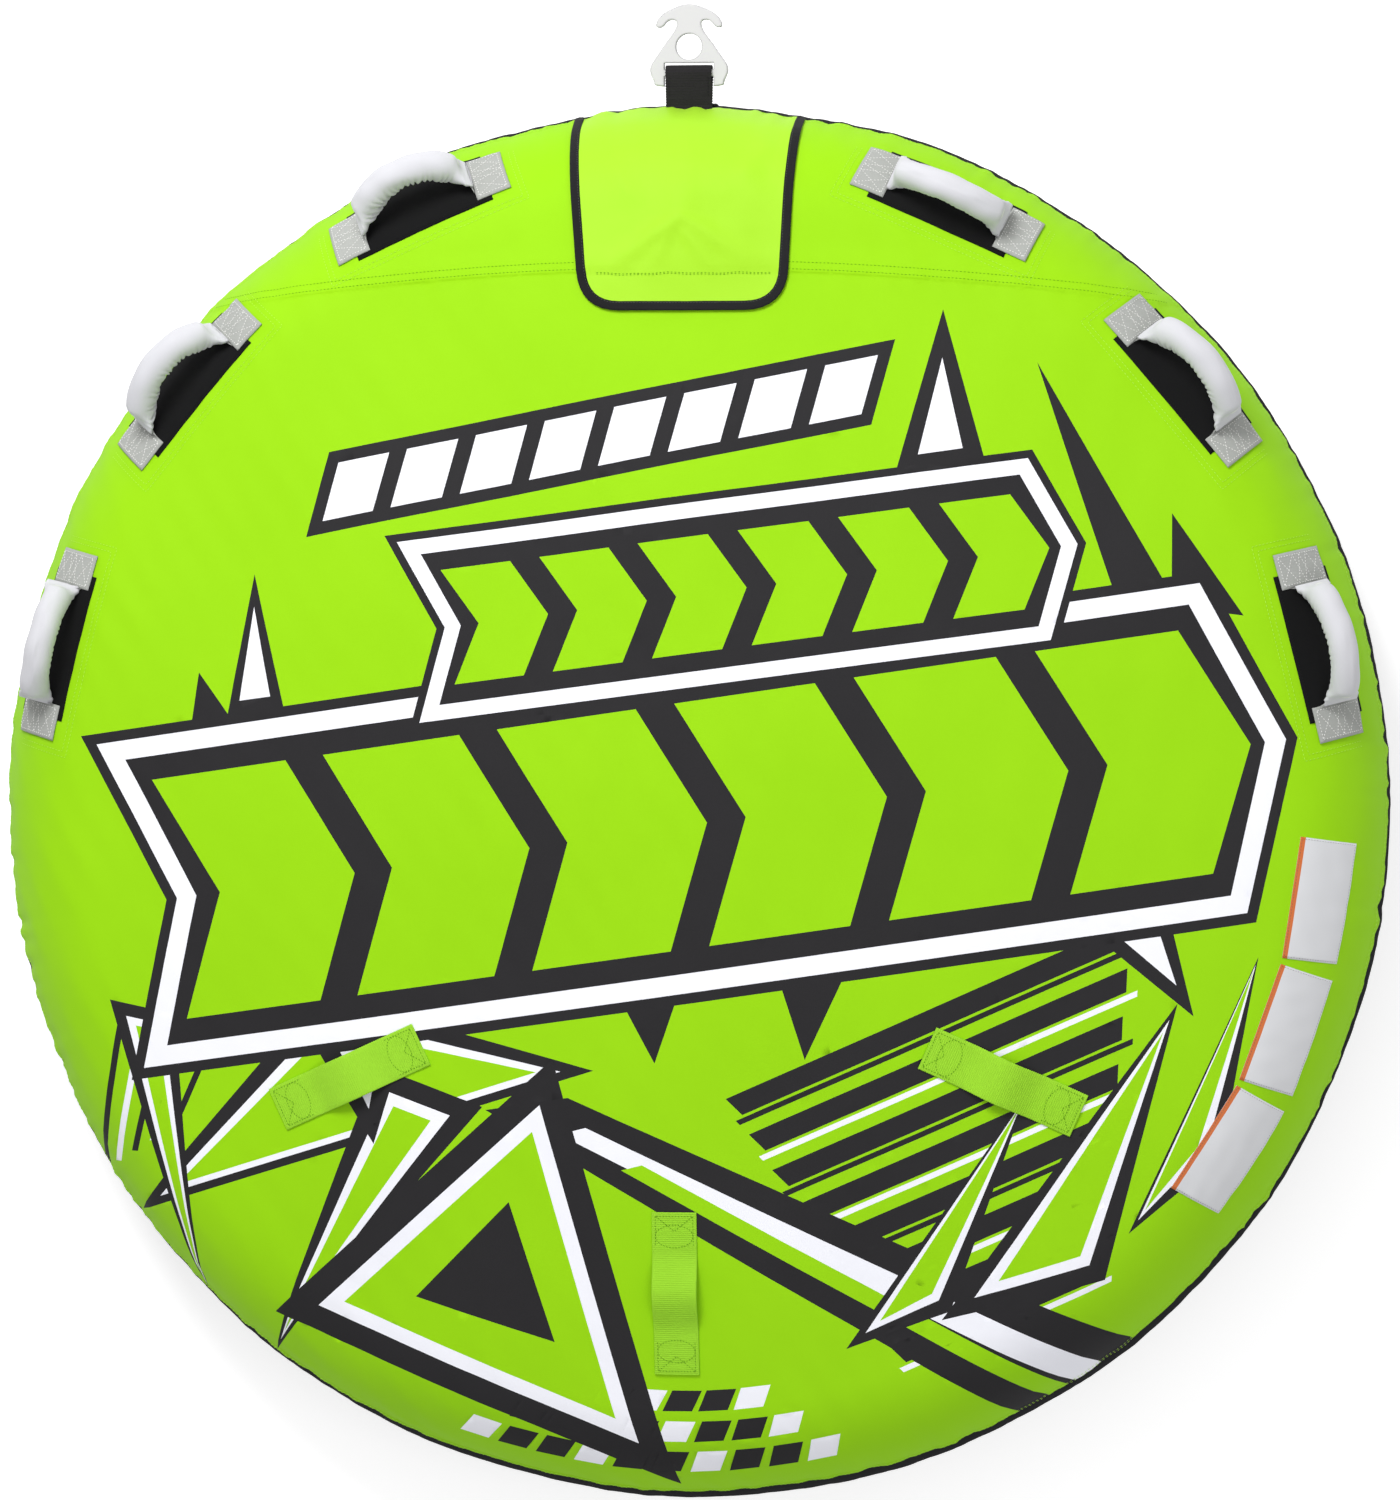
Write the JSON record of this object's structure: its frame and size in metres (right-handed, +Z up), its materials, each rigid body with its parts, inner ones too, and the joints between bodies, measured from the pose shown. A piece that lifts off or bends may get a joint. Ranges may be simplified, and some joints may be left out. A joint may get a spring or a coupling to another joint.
{
  "type": "towable tube",
  "caption": "Round inflatable deck tube with a fabric cover, padded side handles, boarding straps, a nose flap over the valve and a tow strap with a quick hook.",
  "frame": {"origin": "middle of the flat underside, on the tube's axis", "axes": "+Z up out of the deck, +Y toward the tow hook, +X to a prone rider's right"},
  "size_m": [1.5998, 1.7134, 0.36],
  "materials": {
    "deck_fabric": "coated woven nylon, bright green with printed black and white shapes",
    "underside_fabric": "coated woven nylon, black",
    "black_tape": "woven binding tape, black",
    "tow_webbing": "heavy ribbed webbing, black",
    "handle_webbing": "woven webbing, light grey",
    "strap_webbing": "ribbed webbing, bright green",
    "sleeve_fabric": "soft woven sleeve, white",
    "guard_neoprene": "fabric-faced foam rubber, black",
    "handle_foam": "closed-cell foam",
    "bladder_vinyl": "heavy PVC sheet, black",
    "valve_plastic": "moulded plastic, black",
    "zipper_plastic": "coil, black",
    "zipper_metal": "die-cast, black",
    "hook_plastic": "moulded nylon, translucent white",
    "patch_vinyl": "printed vinyl patch, blank, one orange edge",
    "eyelet_brass": "nickel-washed"
  },
  "bodies": {
    "tube": {"bladder": "bladder_vinyl", "valve_body": "valve_plastic", "valve_membrane": "valve_plastic", "cover_deck": "deck_fabric", "cover_nose": "deck_fabric", "cover_underside": "underside_fabric", "seam_tape": "black_tape", "deck_loop_tape": "black_tape", "tow_harness": "tow_webbing", "zipper_tape": "black_tape", "zipper_coil": "zipper_plastic", "drain_grommets": "eyelet_brass", "boarding_strap_rear": "strap_webbing", "boarding_strap_left": "strap_webbing", "boarding_strap_right": "strap_webbing", "blank_patch_1": "patch_vinyl", "blank_patch_2": "patch_vinyl", "blank_patch_3": "patch_vinyl", "handle_left_1_guard": "guard_neoprene", "handle_left_1_pads": "handle_webbing", "handle_left_2_guard": "guard_neoprene", "handle_left_2_pads": "handle_webbing", "handle_left_3_guard": "guard_neoprene", "handle_left_3_pads": "handle_webbing", "handle_right_1_guard": "guard_neoprene", "handle_right_1_pads": "handle_webbing", "handle_right_2_guard": "guard_neoprene", "handle_right_2_pads": "handle_webbing", "handle_right_3_guard": "guard_neoprene", "handle_right_3_pads": "handle_webbing"},
    "valve_cap": {"valve_cap": "valve_plastic"},
    "flap": {"flap_panel": "deck_fabric", "flap_binding": "black_tape", "flap_hook_tape": "black_tape"},
    "tow_strap": {"tow_strap": "tow_webbing"},
    "tow_hook": {"tow_hook": "hook_plastic"},
    "zipper_slider": {"zipper_slider": "zipper_metal"},
    "handle_left_1": {"handle_left_1_webbing": "handle_webbing", "handle_left_1_foam": "handle_foam", "handle_left_1_sleeve": "sleeve_fabric"},
    "handle_left_2": {"handle_left_2_webbing": "handle_webbing", "handle_left_2_foam": "handle_foam", "handle_left_2_sleeve": "sleeve_fabric"},
    "handle_left_3": {"handle_left_3_webbing": "handle_webbing", "handle_left_3_foam": "handle_foam", "handle_left_3_sleeve": "sleeve_fabric"},
    "handle_right_1": {"handle_right_1_webbing": "handle_webbing", "handle_right_1_foam": "handle_foam", "handle_right_1_sleeve": "sleeve_fabric"},
    "handle_right_2": {"handle_right_2_webbing": "handle_webbing", "handle_right_2_foam": "handle_foam", "handle_right_2_sleeve": "sleeve_fabric"},
    "handle_right_3": {"handle_right_3_webbing": "handle_webbing", "handle_right_3_foam": "handle_foam", "handle_right_3_sleeve": "sleeve_fabric"}
  },
  "joints": [
    {"name": "flap_lift", "type": "hinge", "parent": "tube", "child": "flap", "pos_m": [0, 0.8, 0.203], "axis": [-1, 0, 0], "range_deg": [0, 80]},
    {"name": "valve_cap_turn", "type": "hinge", "parent": "tube", "child": "valve_cap", "pos_m": [0, 0.64, 0.30572], "axis": [0, 0.1684, 0.9857], "range_deg": [0, 90]},
    {"name": "tow_strap_swing", "type": "hinge", "parent": "tube", "child": "tow_strap", "pos_m": [0, 0.798, 0.20093], "axis": [-1, 0, 0], "range_deg": [-60, 45]},
    {"name": "tow_hook_swing", "type": "hinge", "parent": "tow_strap", "child": "tow_hook", "pos_m": [0, 0.8349, 0.20093], "axis": [1, 0, 0], "range_deg": [-60, 60]},
    {"name": "zipper_slide", "type": "slide", "parent": "tube", "child": "zipper_slider", "axis": [-1, 0, 0], "range_m": [0, 0.21]},
    {"name": "handle_left_1_swing", "type": "hinge", "parent": "tube", "child": "handle_left_1", "pos_m": [-0.3062, 0.68773, 0.2727], "axis": [-0.9135, -0.4067, 0], "range_deg": [-68, 42], "stiffness_Nm_per_rad": 0.3},
    {"name": "handle_left_2_swing", "type": "hinge", "parent": "tube", "child": "handle_left_2", "pos_m": [-0.57584, 0.4849, 0.2727], "axis": [-0.6441, -0.7649, 0], "range_deg": [-64, 46], "stiffness_Nm_per_rad": 0.3},
    {"name": "handle_left_3_swing", "type": "hinge", "parent": "tube", "child": "handle_left_3", "pos_m": [-0.72981, 0.18467, 0.2727], "axis": [-0.2453, -0.9694, 0], "range_deg": [-20, 90], "stiffness_Nm_per_rad": 0.3},
    {"name": "handle_right_1_swing", "type": "hinge", "parent": "tube", "child": "handle_right_1", "pos_m": [0.3062, 0.68773, 0.2727], "axis": [-0.9135, 0.4067, 0], "range_deg": [-34, 76], "stiffness_Nm_per_rad": 0.3},
    {"name": "handle_right_2_swing", "type": "hinge", "parent": "tube", "child": "handle_right_2", "pos_m": [0.57584, 0.4849, 0.2727], "axis": [-0.6441, 0.7649, 0], "range_deg": [-63, 47], "stiffness_Nm_per_rad": 0.3},
    {"name": "handle_right_3_swing", "type": "hinge", "parent": "tube", "child": "handle_right_3", "pos_m": [0.72981, 0.18467, 0.2727], "axis": [-0.2453, 0.9694, 0], "range_deg": [-51, 59], "stiffness_Nm_per_rad": 0.3}
  ]
}
